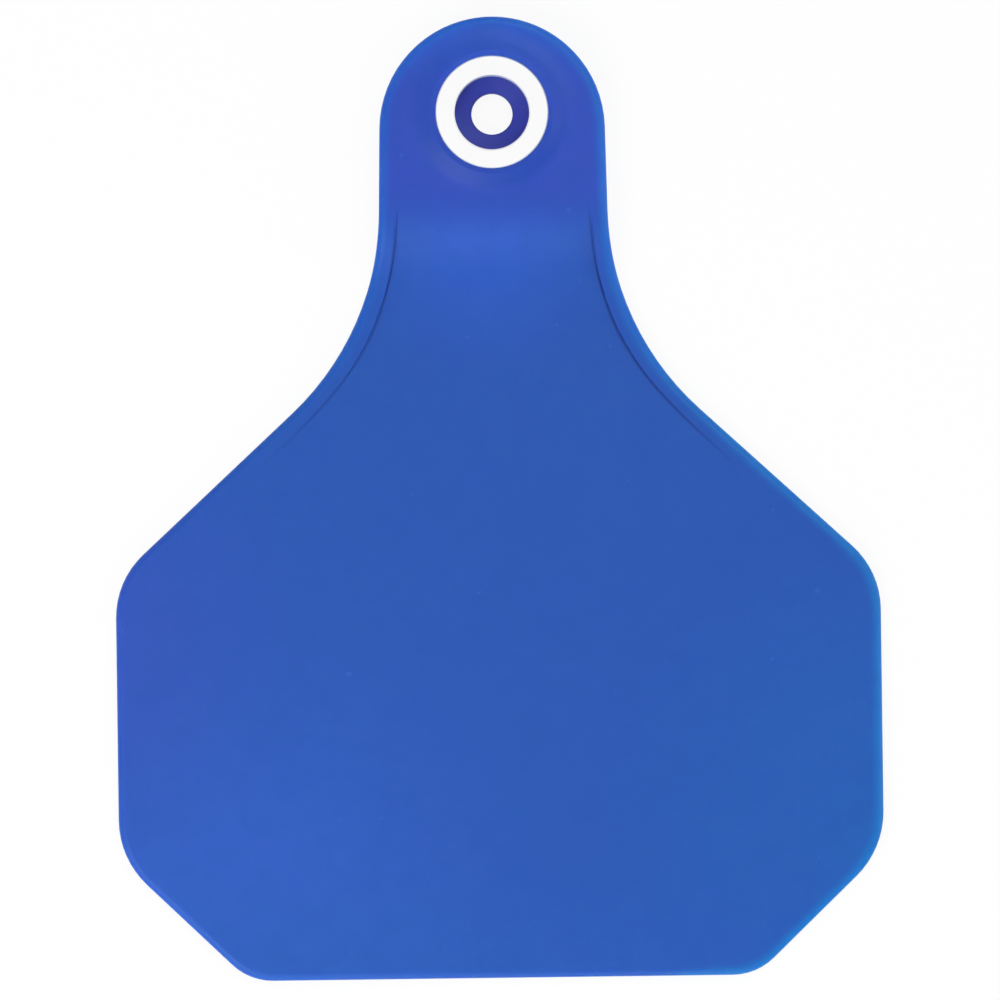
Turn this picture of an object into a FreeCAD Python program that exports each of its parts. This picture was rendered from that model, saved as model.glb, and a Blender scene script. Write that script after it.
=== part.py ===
"""Livestock ear tag: a soft moulded flag and the hard ring moulded into its head.

Millimetres. The tag lies on its flat back: +X is to the right, +Y runs up the neck to the
top of the head, +Z comes out of the front. The origin is under the middle of the outline.
"""
import FreeCAD, Part
import math
import os

import Sketcher

Vector = FreeCAD.Vector

doc = FreeCAD.newDocument("livestock_ear_tag")

# ---------------------------------------------------------------- driving dimensions
SIZES = [
    # the flat outline
    ("tag_width", "76.2", "flag, side to side"),
    ("tag_length", "95.6", "top of the head to the bottom edge"),
    ("head_radius", "11.2", "round top of the head"),
    ("neck_flare", "1.1", "degrees each neck side leans outwards"),
    ("neck_radius", "27.8", "hollow curve from neck to shoulder"),
    ("shoulder_slope", "42.7", "degrees the shoulders fall"),
    ("shoulder_drop", "55.55", "top of the head down to the shoulder corner"),
    ("shoulder_radius", "8.55", "rounding of the shoulder corner"),
    ("hip_radius", "9.0", "rounding under the straight side"),
    ("hip_slope", "43.9", "degrees the lower corners are cut at"),
    ("hip_height", "12.35", "bottom edge up to the corner under the straight side"),
    ("foot_radius", "5.9", "rounding at the bottom edge"),
    # thickness, from the flat back
    ("flag_thickness", "1.3", "the flag"),
    ("head_thickness", "2.9", "the head and the start of the rims"),
    ("neck_thickness", "1.0", "the neck at its thinnest, where the tag flexes"),
    ("edge_round", "0.75", "front edge of the whole outline"),
    # thin neck, and the raised rims on both sides of it
    ("dish_gap", "1.1", "foot of the boss down to where the neck begins to thin"),
    ("dish_run", "8.0", "length over which it thins"),
    ("dish_rise", "16.4", "length over which it thickens again to the flag"),
    ("rim_width", "1.75", "outline to the foot of the rim"),
    ("rim_lag", "0.6", "how much lower down than the neck the rims begin to fall"),
    ("rim_run", "8.4", "length over which the rims fall away"),
    # boss that holds the ring
    ("boss_drop", "9.6", "top of the head down to the middle of the ring"),
    ("boss_height", "3.8", "back of the tag to the lip of the boss"),
    ("boss_foot", "15.4", "diameter where the boss meets the head"),
    ("boss_lip", "12.2", "diameter at the top of the boss"),
    ("lip_round", "0.25", "outer edge of the lip"),
    ("foot_round", "3.4", "foot of the boss"),
    # way through for the stud of the mating button
    ("stud_hole", "4.1", "diameter of the hole in the soft floor"),
    ("stud_land", "0.9", "length of that hole"),
    ("entry_chamfer", "0.35", "lead-in at the back of the hole"),
    # hard ring
    ("ring_outside", "11.2", "outer diameter"),
    ("ring_bore", "7.4", "inner diameter"),
    ("ring_height", "2.1", "height of the ring"),
    ("ring_chamfer", "0.12", "edges of the ring's face"),
    ("key_width", "0.6", "groove round the ring that the soft plastic fills"),
    ("key_depth", "0.4", "depth of that groove"),
]

sizes = doc.addObject("Spreadsheet::Sheet", "sizes")
for row, (name, value, meaning) in enumerate(SIZES, start=1):
    sizes.set(f"A{row}", name)
    sizes.set(f"B{row}", value)
    sizes.set(f"C{row}", meaning)
    sizes.setAlias(f"B{row}", name)
doc.recompute()

HEAD_TOP = "sizes.tag_length / 2"
FOOT = "-sizes.tag_length / 2"
RING_SEAT = "(sizes.boss_height - sizes.ring_height)"
BOSS_PLACE = "(sizes.tag_length / 2 - sizes.boss_drop)"


# ---------------------------------------------------------------- sketch helpers
def value_of(expression):
    """The number that an expression on the sheet gives now."""
    return float(sizes.evalExpression(expression.replace("sizes.", "")))


def bind(sketch, name, expression, kind, *elements):
    """Add a driving constraint with its starting value, and tie it to the sheet."""
    number = value_of(expression)
    start = math.radians(number) if kind == "Angle" else number
    index = sketch.addConstraint(Sketcher.Constraint(kind, *elements, start))
    sketch.renameConstraint(index, name)
    sketch.setExpression("Constraints." + name, expression)


def draw_polygon(sketch, corners):
    """Closed polygon; each corner is a pair of expressions, across and up from the origin."""
    points = [Vector(value_of(across), value_of(up), 0) for across, up in corners]
    lines = [Part.LineSegment(a, b) for a, b in zip(points, points[1:] + points[:1])]
    edges = sketch.addGeometry(lines)
    for edge, following in zip(edges, edges[1:] + edges[:1]):
        sketch.addConstraint(Sketcher.Constraint("Coincident", edge, 2, following, 1))
    for number, (edge, (across, up)) in enumerate(zip(edges, corners)):
        bind(sketch, f"across_{number}", across, "DistanceX", -1, 1, edge, 1)
        bind(sketch, f"up_{number}", up, "DistanceY", -1, 1, edge, 1)
    return edges


def plane_of(body, role):
    """The body's own origin plane with this role."""
    return next(plane for plane in body.Origin.OriginFeatures if plane.Role == role)


def sketch_on(body, name, role):
    """New sketch in a body, lying on one of the body's origin planes."""
    sketch = body.newObject("Sketcher::SketchObject", name)
    sketch.AttachmentSupport = [(plane_of(body, role), "")]
    sketch.MapMode = "FlatFace"
    return sketch


# ---------------------------------------------------------------- outline of the tag
def outline_corners():
    """Right-hand corners of the outline, before rounding, from the neck down."""
    top = value_of(HEAD_TOP)
    half = value_of("sizes.tag_width") / 2
    head = value_of("sizes.head_radius")
    flare = math.radians(value_of("sizes.neck_flare"))
    slope = math.radians(value_of("sizes.shoulder_slope"))
    cut = math.radians(value_of("sizes.hip_slope"))

    touch = Vector(head * math.cos(flare), top - head + head * math.sin(flare), 0)
    shoulder = Vector(half, top - value_of("sizes.shoulder_drop"), 0)
    hip = Vector(half, value_of("sizes.hip_height") - top, 0)
    foot = Vector(half - value_of("sizes.hip_height") / math.tan(cut), -top, 0)
    # the neck side, leaning out by the flare, runs down until it meets the shoulder line
    spare_drop = touch.y - shoulder.y - (shoulder.x - touch.x) * math.tan(slope)
    neck_drop = spare_drop / (1 - math.tan(flare) * math.tan(slope))
    neck = touch + Vector(neck_drop * math.tan(flare), -neck_drop, 0)
    return touch, neck, shoulder, hip, foot


def add_arc(sketch, before, corner, after, radius):
    """Arc that rounds one corner. Returns its index and which end lies on either side."""
    back = (before - corner).normalize()
    onward = (after - corner).normalize()
    half_angle = back.getAngle(onward) / 2
    centre = corner + (back + onward).normalize() * (radius / math.sin(half_angle))
    first = corner + back * (radius / math.tan(half_angle)) - centre
    last = corner + onward * (radius / math.tan(half_angle)) - centre
    angles = [math.atan2(first.y, first.x), math.atan2(last.y, last.x)]
    turns_left = first.cross(last).z > 0
    if not turns_left:
        angles.reverse()
    circle = Part.Circle(centre, Vector(0, 0, 1), radius)
    index = sketch.addGeometry(Part.ArcOfCircle(circle, *angles))
    return (index, 1, 2) if turns_left else (index, 2, 1)


def end_point(sketch, piece, which):
    """Where a piece of the outline starts (1) or stops (2) on the way down."""
    return sketch.getPoint(piece[0], piece[which])


def draw_side(sketch, side):
    """One side of the outline, head to foot: side lines with an arc at every corner."""
    corners = [Vector(side * corner.x, corner.y, 0) for corner in outline_corners()]
    corners.append(Vector(0, corners[-1].y, 0))
    radii = [value_of("sizes." + name) for name in RADII]
    arcs = [add_arc(sketch, before, corner, after, radius) for before, corner, after, radius
            in zip(corners, corners[1:], corners[2:], radii)]
    starts = [corners[0]] + [end_point(sketch, arc, 2) for arc in arcs[:-1]]
    stops = [end_point(sketch, arc, 1) for arc in arcs]
    pieces = []
    for start, stop, arc in zip(starts, stops, arcs):
        line = sketch.addGeometry(Part.LineSegment(start, stop))
        pieces += [(line, 1, 2), arc]
    return pieces


def join(sketch, kind, one, other):
    """Tie the lower end of one piece to the upper end of the next."""
    sketch.addConstraint(Sketcher.Constraint(kind, one[0], one[2], other[0], other[1]))


RADII = ["neck_radius", "shoulder_radius", "hip_radius", "foot_radius"]


def draw_outline(sketch):
    """The flat outline: right side dimensioned, left side its mirror image."""
    origin, long_axis = (-1, 1), -2
    head_radius = value_of("sizes.head_radius")
    flare = math.radians(value_of("sizes.neck_flare"))
    head_centre = Vector(0, value_of(HEAD_TOP) - head_radius, 0)
    head_circle = Part.Circle(head_centre, Vector(0, 0, 1), head_radius)
    head = sketch.addGeometry(Part.ArcOfCircle(head_circle, flare, math.pi - flare))
    right = draw_side(sketch, 1)
    left = draw_side(sketch, -1)
    foot = sketch.addGeometry(Part.LineSegment(
        end_point(sketch, right[-1], 2), end_point(sketch, left[-1], 2)))

    # right side: every joint smooth, from the head round to the bottom edge
    chain = [(head, 2, 1)] + right + [(foot, 1, 2)]
    for one, other in zip(chain, chain[1:]):
        join(sketch, "Tangent", one, other)
    # left side: the same joints, with the ends of its lines mirrored in the long axis
    chain = [(head, 1, 2)] + left + [(foot, 2, 1)]
    for one, other in zip(chain, chain[1:]):
        join(sketch, "Coincident", one, other)
    for one, other in zip(right[0::2], left[0::2]):
        for end in (1, 2):
            sketch.addConstraint(Sketcher.Constraint(
                "Symmetric", one[0], one[end], other[0], other[end], long_axis))
    for one, other, name in zip(right[1::2], left[1::2], RADII):
        sketch.addConstraint(Sketcher.Constraint("Equal", one[0], other[0]))
        bind(sketch, name, "sizes." + name, "Radius", one[0])

    neck, shoulder, side, hip = [piece[0] for piece in right[0::2]]
    bind(sketch, "head_radius", "sizes.head_radius", "Radius", head)
    bind(sketch, "head_centre", HEAD_TOP + " - sizes.head_radius", "DistanceY", *origin, head, 3)
    bind(sketch, "neck_lean", "sizes.neck_flare - 90", "Angle", neck)
    bind(sketch, "shoulder_fall", "-sizes.shoulder_slope", "Angle", shoulder)
    bind(sketch, "hip_fall", "sizes.hip_slope - 180", "Angle", hip)
    bind(sketch, "half_width", "sizes.tag_width / 2", "DistanceX", *origin, side, 1)
    sketch.addConstraint(Sketcher.Constraint("Vertical", side))
    sketch.addConstraint(Sketcher.Constraint("Horizontal", foot))
    bind(sketch, "bottom", FOOT, "DistanceY", *origin, foot, 1)

    # the corners that the shoulder and hip dimensions are taken to lie off the arcs
    shoulder_corner, hip_corner = outline_corners()[2:4]
    for corner, name, height, lines in (
            (shoulder_corner, "shoulder_corner", HEAD_TOP + " - sizes.shoulder_drop",
             (shoulder, side)),
            (hip_corner, "hip_corner", FOOT + " + sizes.hip_height", (side, hip))):
        point = sketch.addGeometry(Part.Point(corner), True)
        for line in lines:
            sketch.addConstraint(Sketcher.Constraint("PointOnObject", point, 1, line))
        bind(sketch, name, height, "DistanceY", *origin, point, 1)


outline = doc.addObject("Sketcher::SketchObject", "outline")
draw_outline(outline)
doc.recompute()


# ---------------------------------------------------------------- rims and dished neck
def extrusion(name, base, length, symmetric=False):
    """Solid made by drawing a closed sketch out along its normal."""
    solid = doc.addObject("Part::Extrusion", name)
    solid.Base = base
    solid.DirMode = "Normal"
    solid.Solid = True
    solid.Symmetric = symmetric
    solid.setExpression("LengthFwd", length)
    return solid


def end_near(sketch, curve, place):
    """Which end of a curve, 1 or 2, is the nearer to a place along the tag."""
    return min((1, 2), key=lambda end: abs(sketch.getPoint(curve, end).x - place))


def draw_bend(sketch, station, next_station):
    """S of two equal arcs between two stations, level at both; returns its two ends.

    A station is a pair of expressions: its place along the tag and its height.
    """
    start, stop = [Vector(value_of(along), value_of(up), 0)
                   for along, up in (station, next_station)]
    run, drop = start.x - stop.x, start.y - stop.y
    radius = (run ** 2 + drop ** 2) / (4 * drop)
    half_turn = math.asin(run / 2 / abs(radius)) / 2
    halfway = Vector(abs(radius) * math.sin(half_turn), radius * (1 - math.cos(half_turn)), 0)
    middle = (start + stop) / 2
    one, other = sketch.addGeometry([Part.ArcOfCircle(start, start - halfway, middle),
                                     Part.ArcOfCircle(middle, stop + halfway, stop)])
    ends = [(one, end_near(sketch, one, start.x)), (other, end_near(sketch, other, stop.x))]
    sketch.addConstraint([
        Sketcher.Constraint("Tangent", one, end_near(sketch, one, middle.x),
                            other, end_near(sketch, other, middle.x)),
        Sketcher.Constraint("Equal", one, other),
    ])
    for curve, end in ends:
        sketch.addConstraint(Sketcher.Constraint("Vertical", curve, end, curve, 3))
    return ends


def draw_surface(sketch, stations):
    """Side view of what is cut away above a surface that bends from station to station."""
    bends = [draw_bend(sketch, station, next_station)
             for station, next_station in zip(stations, stations[1:])]
    above = "(sizes.head_thickness + sizes.flag_thickness)"
    past_foot = "(" + FOOT + " - sizes.flag_thickness)"
    corners = [stations[-1], (past_foot, stations[-1][1]), (past_foot, above),
               (stations[0][0], above), stations[0]]
    points = [Vector(value_of(along), value_of(up), 0) for along, up in corners]
    floor, back, roof, front = sketch.addGeometry(
        [Part.LineSegment(a, b) for a, b in zip(points, points[1:])])
    joints = [(bend[1], next_bend[0]) for bend, next_bend in zip(bends, bends[1:])]
    joints += [(bends[-1][1], (floor, 1)), ((floor, 2), (back, 1)), ((back, 2), (roof, 1)),
               ((roof, 2), (front, 1)), ((front, 2), bends[0][0])]
    for one, other in joints:
        sketch.addConstraint(Sketcher.Constraint("Coincident", *one, *other))
    for line in (floor, roof):
        sketch.addConstraint(Sketcher.Constraint("Horizontal", line))
    for line in (back, front):
        sketch.addConstraint(Sketcher.Constraint("Vertical", line))
    ends = [bends[0][0]] + [bend[1] for bend in bends]
    for number, ((along, up), end) in enumerate(zip(stations, ends)):
        bind(sketch, f"place_{number}", along, "DistanceX", -1, 1, *end)
        bind(sketch, f"height_{number}", up, "DistanceY", -1, 1, *end)
    bind(sketch, "past_foot", past_foot, "DistanceX", -1, 1, back, 1)
    bind(sketch, "above", above, "DistanceY", -1, 1, roof, 1)


def surface_cutter(name, stations):
    """Block that leaves nothing above the bending surface, over the whole width."""
    sketch = doc.addObject("Sketcher::SketchObject", name + "_profile")
    sketch.Placement = FreeCAD.Placement(Vector(), FreeCAD.Rotation(Vector(1, 1, 1), 120))
    draw_surface(sketch, stations)
    return extrusion(name, sketch, "sizes.tag_width + 2 * sizes.flag_thickness", True)


def boolean(kind, name, base, tool):
    """Part::Cut or Part::Common of two solids."""
    result = doc.addObject("Part::" + kind, name)
    result.Base = base
    result.Tool = tool
    result.Refine = True
    return result


DISH_START = BOSS_PLACE + " - sizes.boss_foot / 2 - sizes.dish_gap"
DISH_LOW = DISH_START + " - sizes.dish_run"
RIM_START = DISH_START + " - sizes.rim_lag"

blank = extrusion("blank", outline, "sizes.head_thickness")
rim_fall = surface_cutter("rim_fall", [
    (RIM_START, "sizes.head_thickness"),
    (RIM_START + " - sizes.rim_run", "sizes.flag_thickness"),
])
rimmed = boolean("Cut", "rimmed", blank, rim_fall)

rim_foot = doc.addObject("Part::Offset2D", "rim_foot")
rim_foot.Source = outline
rim_foot.Join = "Intersection"
rim_foot.setExpression("Value", "-sizes.rim_width")
between_rims = extrusion("between_rims", rim_foot, "2 * sizes.head_thickness")
dish_fall = surface_cutter("dish_fall", [
    (DISH_START, "sizes.head_thickness"),
    (DISH_LOW, "sizes.neck_thickness"),
    (DISH_LOW + " - sizes.dish_rise", "sizes.flag_thickness"),
])
dish = boolean("Common", "dish", between_rims, dish_fall)
dished = boolean("Cut", "dished", rimmed, dish)
doc.recompute()


# ---------------------------------------------------------------- the soft tag
tag = doc.addObject("PartDesign::Body", "tag_panel")
tag.Label = "tag_panel"
tag.BaseFeature = dished
doc.recompute()


def edges_where(shape, wanted):
    """Names of the edges whose middle point and curve pass a test."""
    names = []
    for number, edge in enumerate(shape.Edges, start=1):
        middle = edge.valueAt((edge.FirstParameter + edge.LastParameter) / 2)
        if wanted(edge, middle):
            names.append(f"Edge{number}")
    return names


def round_edges(body, name, radius, wanted):
    """Round the edges of the body's last feature that pass a test."""
    base = body.Tip
    fillet = body.newObject("PartDesign::Fillet", name)
    fillet.Base = (base, edges_where(base.Shape, wanted))
    fillet.setExpression("Radius", radius)
    doc.recompute()


def on_front_rim(edge, middle):
    """True for the front edges that run round the outline."""
    ends = [vertex.Point for vertex in edge.Vertexes]
    upright = abs(ends[0].z - ends[-1].z) > 0.9 * edge.Length
    flat = Part.Vertex(middle.x, middle.y, 0)
    beside = outline.Shape.distToShape(flat)[0] < value_of("sizes.rim_width") / 4
    return beside and not upright and middle.z > value_of("sizes.flag_thickness") / 2


def circle_at(diameter, height):
    """Test for the circle of one diameter at one height."""
    radius, level = value_of(diameter) / 2, value_of(height)

    def wanted(edge, middle):
        return (isinstance(edge.Curve, Part.Circle)
                and abs(edge.Curve.Radius - radius) < 0.01 * radius
                and abs(middle.z - level) < 0.01 * radius)

    return wanted


def turned(body, kind, name, corners):
    """Revolved feature: corners are pairs of expressions, radius from the ring's axis and z."""
    sketch = sketch_on(body, name + "_profile", "YZ_Plane")
    draw_polygon(sketch, [(f"{BOSS_PLACE} + {radius}", up) for radius, up in corners])
    axis = sketch.addGeometry(Part.LineSegment(
        Vector(value_of(BOSS_PLACE), 0, 0),
        Vector(value_of(BOSS_PLACE), value_of("sizes.boss_height"), 0)), True)
    sketch.addConstraint(Sketcher.Constraint("Vertical", axis))
    sketch.addConstraint(Sketcher.Constraint("PointOnObject", axis, 1, -1))
    bind(sketch, "axis_place", BOSS_PLACE, "DistanceX", -1, 1, axis, 1)
    bind(sketch, "axis_top", "sizes.boss_height", "DistanceY", -1, 1, axis, 2)
    feature = body.newObject("PartDesign::" + kind, name)
    feature.Profile = sketch
    feature.ReferenceAxis = (sketch, ["Axis0"])
    feature.Angle = 360
    doc.recompute()
    return feature


round_edges(tag, "front_edge", "sizes.edge_round", on_front_rim)

turned(tag, "Revolution", "boss", [
    ("0", "sizes.head_thickness / 2"),
    ("sizes.boss_foot / 2", "sizes.head_thickness / 2"),
    ("sizes.boss_foot / 2", "sizes.head_thickness"),
    ("sizes.boss_lip / 2", "sizes.boss_height"),
    ("0", "sizes.boss_height"),
])
round_edges(tag, "boss_foot_round", "sizes.foot_round",
            circle_at("sizes.boss_foot", "sizes.head_thickness"))
round_edges(tag, "boss_lip_round", "sizes.lip_round",
            circle_at("sizes.boss_lip", "sizes.boss_height"))

KEY_LOW = RING_SEAT + " + (sizes.ring_height - sizes.key_width) / 2"
KEY_HIGH = RING_SEAT + " + (sizes.ring_height + sizes.key_width) / 2"
turned(tag, "Groove", "ring_seat", [
    ("0", "-sizes.entry_chamfer"),
    ("sizes.stud_hole / 2 + 2 * sizes.entry_chamfer", "-sizes.entry_chamfer"),
    ("sizes.stud_hole / 2", "sizes.entry_chamfer"),
    ("sizes.stud_hole / 2", "sizes.entry_chamfer + sizes.stud_land"),
    ("sizes.ring_bore / 2", RING_SEAT),
    ("sizes.ring_outside / 2", RING_SEAT),
    ("sizes.ring_outside / 2", KEY_LOW),
    ("sizes.ring_outside / 2 - sizes.key_depth", KEY_LOW),
    ("sizes.ring_outside / 2 - sizes.key_depth", KEY_HIGH),
    ("sizes.ring_outside / 2", KEY_HIGH),
    ("sizes.ring_outside / 2", "sizes.boss_height + sizes.lip_round"),
    ("0", "sizes.boss_height + sizes.lip_round"),
])


# ---------------------------------------------------------------- the hard ring
ring = doc.addObject("PartDesign::Body", "locking_ring")
ring.Label = "locking_ring"
turned(ring, "Revolution", "ring", [
    ("sizes.ring_bore / 2", RING_SEAT),
    ("sizes.ring_outside / 2", RING_SEAT),
    ("sizes.ring_outside / 2", KEY_LOW),
    ("sizes.ring_outside / 2 - sizes.key_depth", KEY_LOW),
    ("sizes.ring_outside / 2 - sizes.key_depth", KEY_HIGH),
    ("sizes.ring_outside / 2", KEY_HIGH),
    ("sizes.ring_outside / 2", "sizes.boss_height - sizes.ring_chamfer"),
    ("sizes.ring_outside / 2 - sizes.ring_chamfer", "sizes.boss_height"),
    ("sizes.ring_bore / 2 + sizes.ring_chamfer", "sizes.boss_height"),
    ("sizes.ring_bore / 2", "sizes.boss_height - sizes.ring_chamfer"),
])


# ---------------------------------------------------------------- check and write
doc.recompute()
for item in doc.Objects:
    if {"Invalid", "Error"} & set(item.State):
        raise RuntimeError(f"{item.Label} failed: {item.State}")

os.makedirs("parts", exist_ok=True)
for body in (tag, ring):
    shape = body.Shape
    if shape.isNull() or not shape.isValid() or len(shape.Solids) != 1:
        raise RuntimeError(f"{body.Label} is not one sound solid")
    shape.exportStep(os.path.join("parts", body.Label + ".step"))
    print(f"{body.Label}: {shape.Volume:.1f} mm3, {shape.BoundBox}")
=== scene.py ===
"""A blank livestock ear tag lying on its back: a soft blue moulding with a hard white ring.

Metres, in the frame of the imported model: +X right, +Y up the neck, +Z out of the front.
"""
import math

import bpy
import numpy as np
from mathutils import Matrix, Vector


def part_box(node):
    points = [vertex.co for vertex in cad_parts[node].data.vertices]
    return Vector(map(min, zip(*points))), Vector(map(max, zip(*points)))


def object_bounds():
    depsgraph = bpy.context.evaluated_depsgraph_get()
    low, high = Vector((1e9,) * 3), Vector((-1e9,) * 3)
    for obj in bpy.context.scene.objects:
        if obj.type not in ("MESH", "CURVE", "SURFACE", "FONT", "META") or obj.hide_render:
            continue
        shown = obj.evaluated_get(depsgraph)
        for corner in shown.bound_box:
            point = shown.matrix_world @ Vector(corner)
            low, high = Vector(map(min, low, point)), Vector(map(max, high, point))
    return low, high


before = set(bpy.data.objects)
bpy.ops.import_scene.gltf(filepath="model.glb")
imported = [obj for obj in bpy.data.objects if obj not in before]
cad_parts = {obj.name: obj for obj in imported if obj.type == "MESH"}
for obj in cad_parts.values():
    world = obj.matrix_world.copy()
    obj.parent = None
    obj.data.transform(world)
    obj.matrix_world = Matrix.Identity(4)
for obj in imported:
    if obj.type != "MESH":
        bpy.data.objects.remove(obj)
cad_low, cad_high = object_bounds()
scene = bpy.context.scene
scene.view_settings.view_transform = "Standard"

# ------------------------------------------------------------------ the soft tag
# Flag, neck, head and boss are one injection moulding in blue polyurethane. The plastic lets a
# little light through and has a fine matte skin from the mould. Pale painted light lies along its
# edges, on the neck and over parts of the flag, and painted shade over the thick head, the boss,
# the rim creases and the funnel in the ring.


def new_material(name):
    """Node material that holds only a Principled shader and its output."""
    material = bpy.data.materials.new(name)
    material.use_nodes = True
    tree = material.node_tree
    tree.nodes.clear()
    shader = tree.nodes.new("ShaderNodeBsdfPrincipled")
    output = tree.nodes.new("ShaderNodeOutputMaterial")
    tree.links.new(shader.outputs["BSDF"], output.inputs["Surface"])
    return material, tree, shader


def dress(piece, material):
    """Give a piece this material and no other."""
    piece.data.materials.clear()
    piece.data.materials.append(material)


def feed(tree, socket, value):
    """Set an input socket: link it to another socket, or give it a number or colour."""
    if isinstance(value, bpy.types.NodeSocket):
        tree.links.new(value, socket)
    else:
        socket.default_value = value


def calculate(tree, operation, *values):
    """Math node on numbers or sockets; returns its output."""
    node = tree.nodes.new("ShaderNodeMath")
    node.operation = operation
    for socket, value in zip(node.inputs, values):
        feed(tree, socket, value)
    return node.outputs["Value"]


def fade(tree, value, start, stop):
    """Smooth step: 0 where the value is at start and 1 where it reaches stop."""
    node = tree.nodes.new("ShaderNodeMapRange")
    node.interpolation_type = "SMOOTHSTEP"
    rising = start < stop
    node.inputs["From Min"].default_value = min(start, stop)
    node.inputs["From Max"].default_value = max(start, stop)
    node.inputs["To Min"].default_value = 0.0 if rising else 1.0
    node.inputs["To Max"].default_value = 1.0 if rising else 0.0
    tree.links.new(value, node.inputs["Value"])
    return node.outputs["Result"]


def spread(tree, where, centre, reach):
    """Round patch: 1 at its centre, falling smoothly to 0 at its reach."""
    node = tree.nodes.new("ShaderNodeVectorMath")
    node.operation = "DISTANCE"
    tree.links.new(where, node.inputs[0])
    node.inputs[1].default_value = centre
    return fade(tree, node.outputs["Value"], reach, 0.0)


def tint(tree, colour, shade, amount, share=1.0):
    """Mix a shade into a colour, by amount times share."""
    node = tree.nodes.new("ShaderNodeMix")
    node.data_type = "RGBA"
    if share < 1.0:
        amount = calculate(tree, "MULTIPLY", amount, share)
    feed(tree, node.inputs["Factor"], amount)
    feed(tree, node.inputs["A"], colour)
    node.inputs["B"].default_value = (*shade, 1)
    return node.outputs["Result"]


def grain(tree, where, scale, detail):
    """Noise over the piece, about 0.5 in the middle."""
    node = tree.nodes.new("ShaderNodeTexNoise")
    tree.links.new(where, node.inputs["Vector"])
    feed(tree, node.inputs["Scale"], scale)
    feed(tree, node.inputs["Detail"], detail)
    return node.outputs["Fac"]


def make_moulded_surface():
    """Node group for moulded plastic.

    Cloud is noise stepped smoothly from Cloud Start to Cloud Full, a mask for mottled
    colour. Roughness is noise spread from Smoothest to Roughest. Height is fine noise plus
    Flow Height times wide noise, for mould grain and flow marks.
    """
    group = bpy.data.node_groups.new("moulded_surface", "ShaderNodeTree")
    group.interface.new_socket("Vector", in_out="INPUT", socket_type="NodeSocketVector")
    for name in ("Cloud Scale", "Cloud Start", "Cloud Full", "Sheen Scale", "Sheen Detail",
                 "Smoothest", "Roughest", "Grain Scale", "Flow Scale", "Flow Height"):
        group.interface.new_socket(name, in_out="INPUT", socket_type="NodeSocketFloat")
    for name in ("Cloud", "Roughness", "Height"):
        group.interface.new_socket(name, in_out="OUTPUT", socket_type="NodeSocketFloat")
    given = group.nodes.new("NodeGroupInput").outputs
    result = group.nodes.new("NodeGroupOutput").inputs

    cloud = group.nodes.new("ShaderNodeMapRange")
    cloud.interpolation_type = "SMOOTHSTEP"
    group.links.new(grain(group, given["Vector"], given["Cloud Scale"], 3.0),
                    cloud.inputs["Value"])
    group.links.new(given["Cloud Start"], cloud.inputs["From Min"])
    group.links.new(given["Cloud Full"], cloud.inputs["From Max"])
    group.links.new(cloud.outputs["Result"], result["Cloud"])

    sheen = group.nodes.new("ShaderNodeMapRange")
    group.links.new(grain(group, given["Vector"], given["Sheen Scale"], given["Sheen Detail"]),
                    sheen.inputs["Value"])
    group.links.new(given["Smoothest"], sheen.inputs["To Min"])
    group.links.new(given["Roughest"], sheen.inputs["To Max"])
    group.links.new(sheen.outputs["Result"], result["Roughness"])

    fine = grain(group, given["Vector"], given["Grain Scale"], 2.0)
    flow = grain(group, given["Vector"], given["Flow Scale"], 2.0)
    group.links.new(calculate(group, "MULTIPLY_ADD", flow, given["Flow Height"], fine),
                    result["Height"])
    return group


moulded_surface = make_moulded_surface()


def mould(tree, shader, place, bump_height, bump_strength, values):
    """Wire the moulded surface into a shader, with these inputs; returns its cloud mask."""
    surface = tree.nodes.new("ShaderNodeGroup")
    surface.node_tree = moulded_surface
    tree.links.new(place, surface.inputs["Vector"])
    for name, value in values.items():
        surface.inputs[name].default_value = value
    tree.links.new(surface.outputs["Roughness"], shader.inputs["Roughness"])
    skin = tree.nodes.new("ShaderNodeBump")
    skin.inputs["Distance"].default_value = bump_height
    skin.inputs["Strength"].default_value = bump_strength
    tree.links.new(surface.outputs["Height"], skin.inputs["Height"])
    tree.links.new(skin.outputs["Normal"], shader.inputs["Normal"])
    return surface.outputs["Cloud"]


# the tag's outline in millimetres and degrees, as the solid has it
HALF_WIDTH, TOP, FOOT = cad_high[0] * 1000, cad_high[1] * 1000, cad_low[1] * 1000
HEAD_RADIUS, NECK_FLARE = 11.2, 1.1
SHOULDER_SLOPE, SHOULDER_DROP = 42.7, 55.55
HIP_SLOPE, HIP_HEIGHT = 43.9, 12.35
# how far two sides blend where they meet, in place of the corner's own rounding
SIDE_BLEND, FOOT_BLEND, NECK_BLEND = 4.3, 2.6, 13.4


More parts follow.
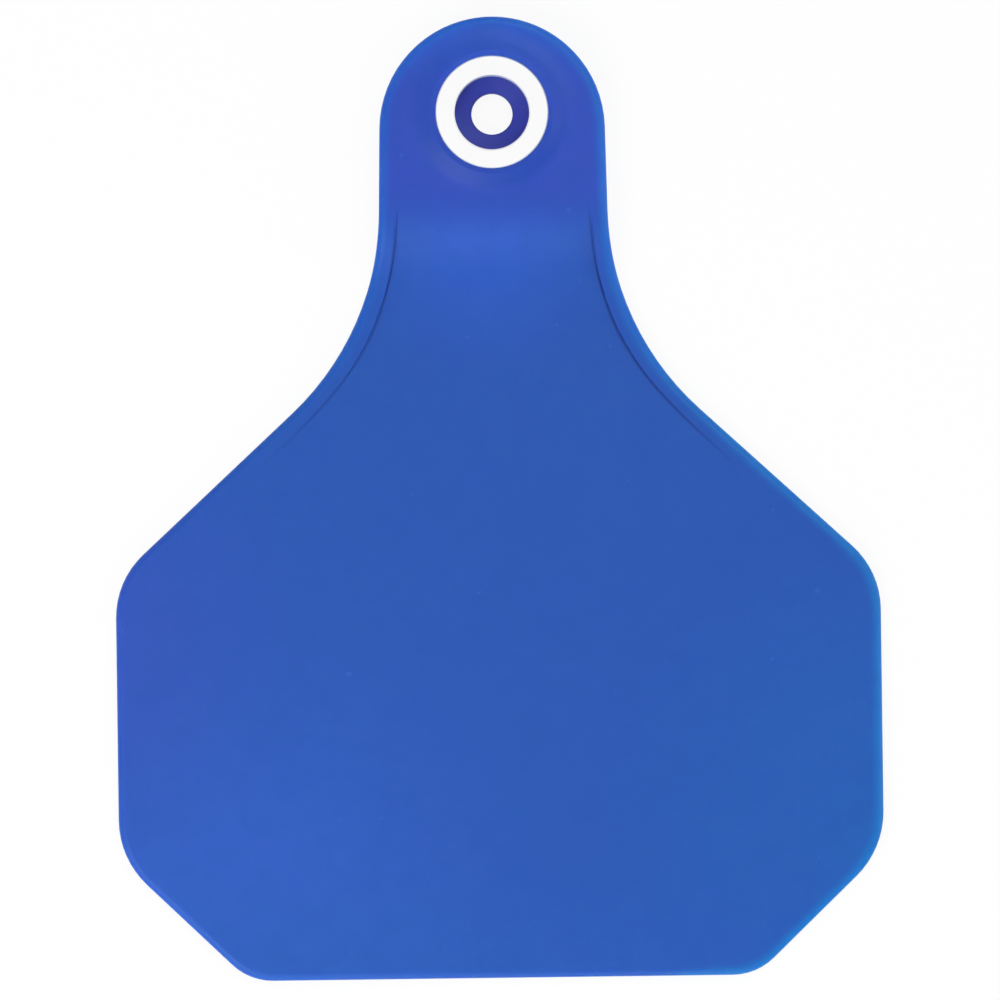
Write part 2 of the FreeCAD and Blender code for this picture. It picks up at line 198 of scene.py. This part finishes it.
def depth_inside_outline(tree, x, y):
    """Millimetres from a point in to the outline.

    The outline is the flag, cut by its straight sides, joined to the neck strip: the least
    of the distances to the flag's sides, then the greater of that and the distance to the
    neck's side. Smooth least and greatest stand for the rounded corners.
    """
    to_side = calculate(tree, "SUBTRACT", HALF_WIDTH, calculate(tree, "ABSOLUTE", x))
    slopes = []
    for slope, corner_height, way in ((SHOULDER_SLOPE, TOP - SHOULDER_DROP, -1),
                                      (HIP_SLOPE, FOOT + HIP_HEIGHT, 1)):
        turn = math.radians(slope)
        inwards = calculate(tree, "MULTIPLY", to_side, math.sin(turn))
        rise = calculate(tree, "SUBTRACT", y, corner_height)
        slopes.append(calculate(tree, "MULTIPLY_ADD", rise, way * math.cos(turn), inwards))
    to_shoulder, to_hip = slopes
    to_foot = calculate(tree, "SUBTRACT", y, FOOT)
    flag = calculate(tree, "SMOOTH_MIN", to_shoulder, to_side, SIDE_BLEND)
    flag = calculate(tree, "SMOOTH_MIN", flag, to_hip, SIDE_BLEND)
    flag = calculate(tree, "SMOOTH_MIN", flag, to_foot, FOOT_BLEND)

    head_middle = TOP - HEAD_RADIUS
    over_head = calculate(tree, "MAXIMUM", calculate(tree, "SUBTRACT", y, head_middle), 0.0)
    under_head = calculate(tree, "MAXIMUM", calculate(tree, "SUBTRACT", head_middle, y), 0.0)
    squares = calculate(tree, "MULTIPLY_ADD", over_head, over_head,
                        calculate(tree, "MULTIPLY", x, x))
    half_neck = calculate(tree, "MULTIPLY_ADD", under_head,
                          math.tan(math.radians(NECK_FLARE)), HEAD_RADIUS)
    neck = calculate(tree, "SUBTRACT", half_neck, calculate(tree, "SQRT", squares))
    return calculate(tree, "SMOOTH_MAX", flag, neck, NECK_BLEND)


soft_plastic, tree, shader = new_material("soft_blue_polyurethane")
place = tree.nodes.new("ShaderNodeTexCoord").outputs["Object"]
in_millimetres = tree.nodes.new("ShaderNodeVectorMath")
in_millimetres.operation = "SCALE"
in_millimetres.inputs["Scale"].default_value = 1000.0
tree.links.new(place, in_millimetres.inputs[0])
where = in_millimetres.outputs["Vector"]
axes = tree.nodes.new("ShaderNodeSeparateXYZ")
tree.links.new(where, axes.inputs["Vector"])
x, y, z = axes.outputs["X"], axes.outputs["Y"], axes.outputs["Z"]
depth = depth_inside_outline(tree, x, y)
cloud = mould(tree, shader, place, bump_height=0.00002, bump_strength=0.35, values={
    "Cloud Scale": 420.0, "Cloud Start": 0.35, "Cloud Full": 0.70,
    "Sheen Scale": 160.0, "Sheen Detail": 4.0, "Smoothest": 0.38, "Roughest": 0.50,
    "Grain Scale": 2600.0, "Flow Scale": 150.0, "Flow Height": 4.0})

# painted light on the flag: lighter round patches at the lower left, the left side and the lower
# right, and lighter toward the foot; each patch has its shade, its middle and reach in
# millimetres, and its share
PLAIN_BLUE = (0.011, 0.098, 0.460, 1)
FLAG_PAINTED_LIGHT_PATCHES = [
    ((0.018, 0.113, 0.535), (-24.0, -41.0, 1.3), 34.0, 1.0),
    ((0.024, 0.090, 0.500), (-42.0, -13.0, 1.3), 26.0, 0.9),
    ((0.006, 0.127, 0.485), (42.0, -34.0, 1.3), 36.0, 0.9),
]
colour = PLAIN_BLUE
for shade, middle, reach, share in FLAG_PAINTED_LIGHT_PATCHES:
    colour = tint(tree, colour, shade, spread(tree, where, middle, reach), share)
colour = tint(tree, colour, (0.011, 0.110, 0.490), fade(tree, y, -34.0, -46.0), 0.7)

# painted light and shade: pale painted light on the thin neck, deeper and more violet painted
# shade over the thick head, paler painted light at the head's top, and the darkest painted shade
# on the boss
colour = tint(tree, colour, (0.018, 0.112, 0.565), spread(tree, where, (-1.0, 25.0, 1.3), 15.0))
colour = tint(tree, colour, (0.025, 0.082, 0.520), fade(tree, y, 25.5, 31.0))
colour = tint(tree, colour, (0.017, 0.108, 0.590), fade(tree, y, 40.0, 46.5), 0.85)
painted_boss_shade = calculate(tree, "MULTIPLY", fade(tree, z, 2.92, 3.3), fade(tree, y, 42.0, 33.0))
colour = tint(tree, colour, (0.010, 0.066, 0.430), painted_boss_shade, 0.75)

# painted light: a pale glow just inside the outline, strongest on the right
painted_edge_glow = calculate(tree, "MULTIPLY", fade(tree, depth, 1.3, 0.25), fade(tree, x, -34.0, 30.0))
colour = tint(tree, colour, (0.0, 0.200, 0.560), painted_edge_glow, 0.80)
# painted light: a second pale glow along the neck's edges
painted_neck_edge_glow = calculate(tree, "MULTIPLY", fade(tree, depth, 1.4, 0.3), fade(tree, y, 6.0, 20.0))
colour = tint(tree, colour, (0.010, 0.125, 0.590), painted_neck_edge_glow, 0.45)

# painted shade: a dark line along the crease at the foot of the rims, strongest on the right
CREASE_DEPTH = 1.8
off_crease = calculate(tree, "ABSOLUTE", calculate(tree, "SUBTRACT", depth, CREASE_DEPTH))
painted_crease_shade = calculate(tree, "MULTIPLY", fade(tree, off_crease, 0.20, 0.04), fade(tree, y, 1.0, 10.0))
painted_crease_shade = calculate(tree, "MULTIPLY", painted_crease_shade, fade(tree, y, 28.5, 26.0))
painted_crease_shade = calculate(tree, "MULTIPLY", painted_crease_shade, fade(tree, x, -70.0, 25.0))
colour = tint(tree, colour, (0.004, 0.040, 0.260), painted_crease_shade, 0.85)

# painted shade in the funnel inside the ring, the deepest hollow, darkest at the lip of the stud
# hole
BOSS_DROP = 9.6
painted_funnel_shade = spread(tree, where, (0.0, TOP - BOSS_DROP, 1.4), 4.3)
colour = tint(tree, colour, (0.032, 0.050, 0.420), fade(tree, painted_funnel_shade, 0.02, 0.10))
colour = tint(tree, colour, (0.010, 0.018, 0.100), fade(tree, painted_funnel_shade, 0.45, 0.58))

# faint mottling and a few pale specks
colour = tint(tree, colour, (0.004, 0.080, 0.420), cloud, 0.16)
specks = fade(tree, grain(tree, place, 900.0, 1.0), 0.77, 0.82)
colour = tint(tree, colour, (0.03, 0.18, 0.62), specks, 0.35)
tree.links.new(colour, shader.inputs["Base Color"])

shader.inputs["IOR"].default_value = 1.5
shader.inputs["Specular IOR Level"].default_value = 0.2
shader.inputs["Subsurface Weight"].default_value = 1.0
shader.inputs["Subsurface Radius"].default_value = (0.15, 0.45, 1.0)
shader.inputs["Subsurface Scale"].default_value = 0.0010
dress(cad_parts["tag_panel"], soft_plastic)

# ------------------------------------------------------------------ the hard ring
# A white nylon ring moulded into the boss, turned face up. Its face is smooth with a faint mould
# grain, and grey-blue painted shade darkens it down in the bore.

hard_plastic, tree, shader = new_material("hard_white_nylon")
place = tree.nodes.new("ShaderNodeTexCoord").outputs["Object"]
cloud = mould(tree, shader, place, bump_height=0.00001, bump_strength=0.25, values={
    "Cloud Scale": 500.0, "Cloud Start": 0.45, "Cloud Full": 0.75,
    "Sheen Scale": 300.0, "Sheen Detail": 3.0, "Smoothest": 0.30, "Roughest": 0.42,
    "Grain Scale": 2200.0, "Flow Scale": 1.0, "Flow Height": 0.0})
axes = tree.nodes.new("ShaderNodeSeparateXYZ")
tree.links.new(place, axes.inputs["Vector"])
ring_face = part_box("locking_ring")[1][2]
PLAIN_WHITE = (0.90, 0.90, 0.90, 1)
# grey-blue painted shade down in the bore, then faint mottling of the white
white = tint(tree, PLAIN_WHITE, (0.55, 0.58, 0.70),
             fade(tree, axes.outputs["Z"], ring_face - 0.0002, ring_face - 0.0018))
white = tint(tree, white, (0.87, 0.88, 0.89), cloud, 0.5)
tree.links.new(white, shader.inputs["Base Color"])
dress(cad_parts["locking_ring"], hard_plastic)

# ------------------------------------------------------------------ floor
# Plain white paper under the tag. It keeps the tag's shadow and is white where it is seen.


def white_when_seen(tree):
    """1 for rays that show the backdrop itself: seen directly, mirrored or through glass."""
    path = tree.nodes.new("ShaderNodeLightPath")
    indirect = calculate(tree, "MAXIMUM", path.outputs["Is Glossy Ray"],
                         path.outputs["Is Transmission Ray"])
    return calculate(tree, "MAXIMUM", path.outputs["Is Camera Ray"], indirect)


FLOOR_HALF = 0.6
FLOOR_GAP = 0.00002
GLOW_SHARE = 0.90
corners = FLOOR_HALF * np.array([(-1, -1, 0), (1, -1, 0), (1, 1, 0), (-1, 1, 0)])
corners[:, 2] = cad_low[2] - FLOOR_GAP
floor_mesh = bpy.data.meshes.new("floor")
floor_mesh.from_pydata(corners.tolist(), [], [(0, 1, 2, 3)])
floor = bpy.data.objects.new("floor", floor_mesh)
scene.collection.objects.link(floor)

paper, tree, shader = new_material("white_paper")
shader.inputs["Base Color"].default_value = (0.9, 0.9, 0.9, 1)
shader.inputs["Roughness"].default_value = 1.0
glow = tree.nodes.new("ShaderNodeEmission")
mix = tree.nodes.new("ShaderNodeMixShader")
share = calculate(tree, "MULTIPLY", white_when_seen(tree), GLOW_SHARE)
tree.links.new(share, mix.inputs["Fac"])
tree.links.new(shader.outputs["BSDF"], mix.inputs[1])
tree.links.new(glow.outputs["Emission"], mix.inputs[2])
tree.links.new(mix.outputs["Shader"], tree.nodes["Material Output"].inputs["Surface"])
dress(floor, paper)

# ------------------------------------------------------------------ light
# A white studio all round, dimmer as a light than where it is seen, a large soft lamp at
# the lower left, a wider one at the upper right, and two low lamps for the edges.
STUDIO_LIGHT, STUDIO_SEEN = 0.42, 1.0
world = bpy.data.worlds.new("studio")
world.use_nodes = True
tree = world.node_tree
background = tree.nodes["Background"]
background.inputs["Color"].default_value = (1, 1, 1, 1)
level = tree.nodes.new("ShaderNodeMapRange")
level.inputs["To Min"].default_value = STUDIO_LIGHT
level.inputs["To Max"].default_value = STUDIO_SEEN
tree.links.new(white_when_seen(tree), level.inputs["Value"])
tree.links.new(level.outputs["Result"], background.inputs["Strength"])
scene.world = world


def softbox(name, azimuth, elevation, reach, size, power):
    """Square area lamp at polar angles in degrees round the tag, pointing at its middle."""
    lamp = bpy.data.lights.new(name, "AREA")
    lamp.shape = "SQUARE"
    lamp.size = size
    lamp.energy = power
    holder = bpy.data.objects.new(name, lamp)
    around, up = math.radians(azimuth), math.radians(elevation)
    holder.location = (reach * math.cos(around) * math.cos(up),
                       reach * math.sin(around) * math.cos(up), reach * math.sin(up))
    holder.rotation_euler = (-Vector(holder.location)).to_track_quat("-Z", "Y").to_euler()
    scene.collection.objects.link(holder)


softbox("key", 228, 44, 0.36, 0.24, 0.72)
softbox("fill", 65, 52, 0.60, 0.40, 1.15)
softbox("low_right", 0, 14, 0.50, 0.30, 0.60)
softbox("low_front", 270, 14, 0.50, 0.30, 0.55)

# ------------------------------------------------------------------ camera
# It looks straight down at AIM from DISTANCE, takes in FRAME_WIDTH there, and is turned by
# ROLL degrees about its own axis.
FRAME_WIDTH = 99.5e-3
DISTANCE = 0.46
AIM = (0.0003, -0.0002, 0.0011)
ROLL = -0.75
SENSOR = 36
camera_data = bpy.data.cameras.new("camera")
camera_data.sensor_width = SENSOR
camera_data.lens = SENSOR * DISTANCE / FRAME_WIDTH
camera = bpy.data.objects.new("camera", camera_data)
scene.collection.objects.link(camera)
camera.location = (AIM[0], AIM[1], AIM[2] + DISTANCE)
camera.rotation_euler = (0, 0, math.radians(ROLL))
scene.camera = camera
